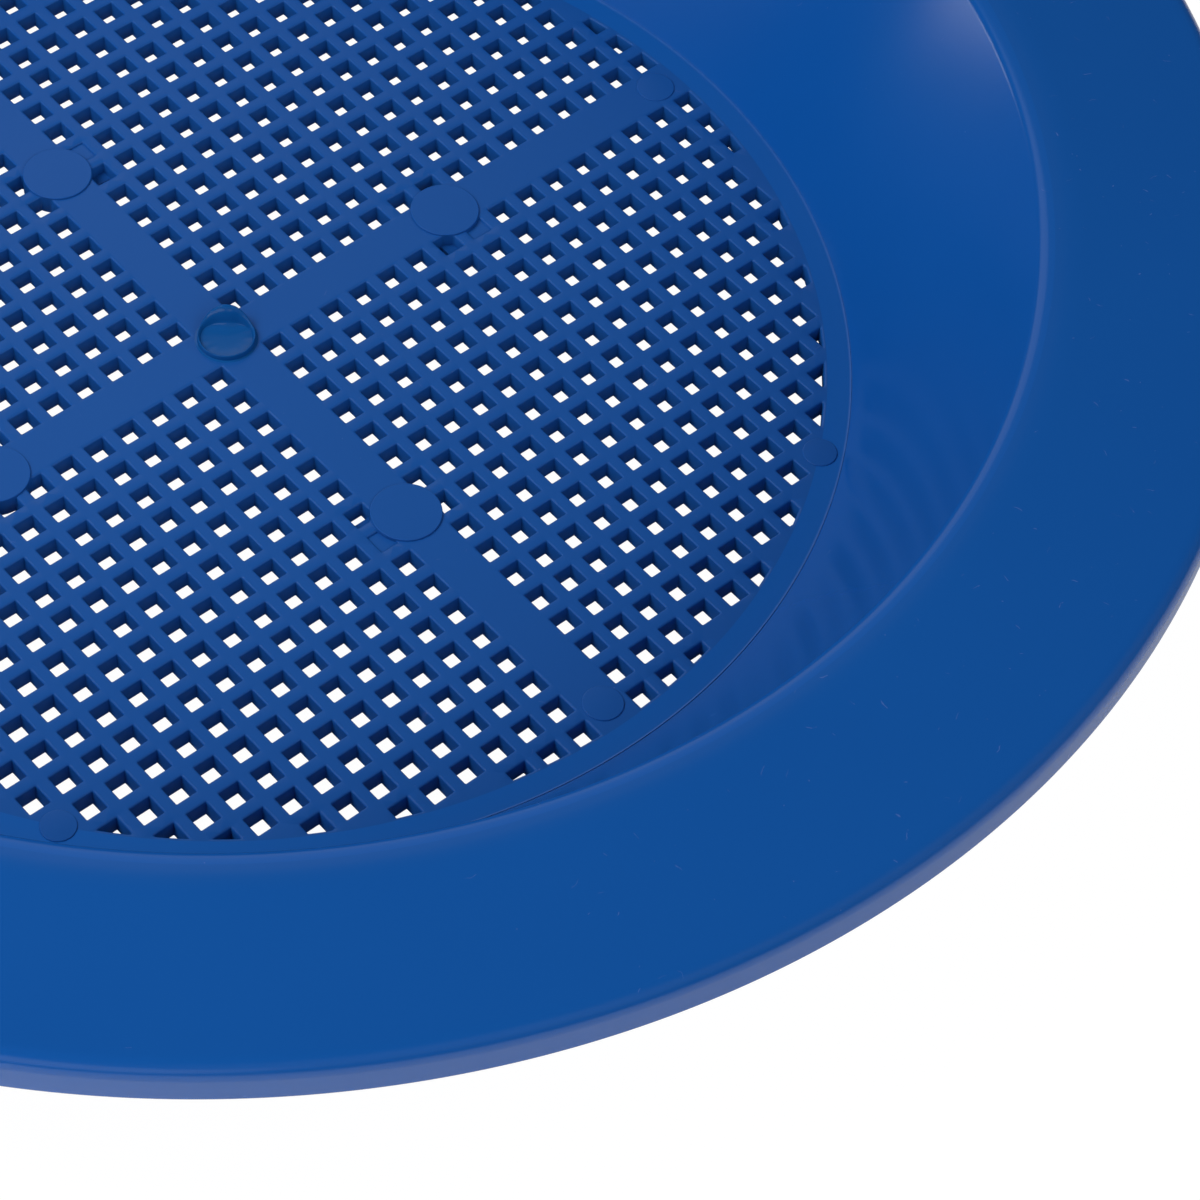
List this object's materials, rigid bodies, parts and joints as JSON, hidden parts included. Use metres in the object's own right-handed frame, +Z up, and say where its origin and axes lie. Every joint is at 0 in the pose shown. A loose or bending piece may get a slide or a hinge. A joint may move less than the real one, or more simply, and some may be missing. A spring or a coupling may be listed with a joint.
{
  "type": "sand sieve",
  "caption": "Round moulded sand sieve: a shallow bowl with a perforated flat floor, a leaning wall and a wide flat brim with a turned-down lip.",
  "frame": {"origin": "centre of the flat underside that the sieve stands on", "axes": "+Z up along the bowl's axis, out of its mouth; +X and +Y along two of the four spokes"},
  "size_m": [0.216, 0.216, 0.0297],
  "materials": {
    "brim_plastic": "satin moulded polypropylene, lightly scuffed",
    "bowl_plastic": "glossy moulded polypropylene",
    "mesh_plastic": "satin moulded polypropylene with slightly rounded bars"
  },
  "bodies": {
    "root": {"brim": "brim_plastic", "rim_lip": "brim_plastic", "bowl_wall": "bowl_plastic", "gate_stub": "bowl_plastic", "floor_ring": "mesh_plastic", "mesh_panel_1": "mesh_plastic", "mesh_panel_2": "mesh_plastic", "mesh_panel_3": "mesh_plastic", "mesh_panel_4": "mesh_plastic", "spoke_1": "mesh_plastic", "spoke_2": "mesh_plastic", "spoke_3": "mesh_plastic", "spoke_4": "mesh_plastic", "hub": "mesh_plastic", "spoke_pad_1": "mesh_plastic", "spoke_pad_2": "mesh_plastic", "spoke_pad_3": "mesh_plastic", "spoke_pad_4": "mesh_plastic", "spoke_end_pad_1": "mesh_plastic", "spoke_end_pad_2": "mesh_plastic", "spoke_end_pad_3": "mesh_plastic", "spoke_end_pad_4": "mesh_plastic", "border_pad_1": "mesh_plastic", "border_pad_2": "mesh_plastic", "border_pad_3": "mesh_plastic", "border_pad_4": "mesh_plastic"}
  },
  "joints": []
}
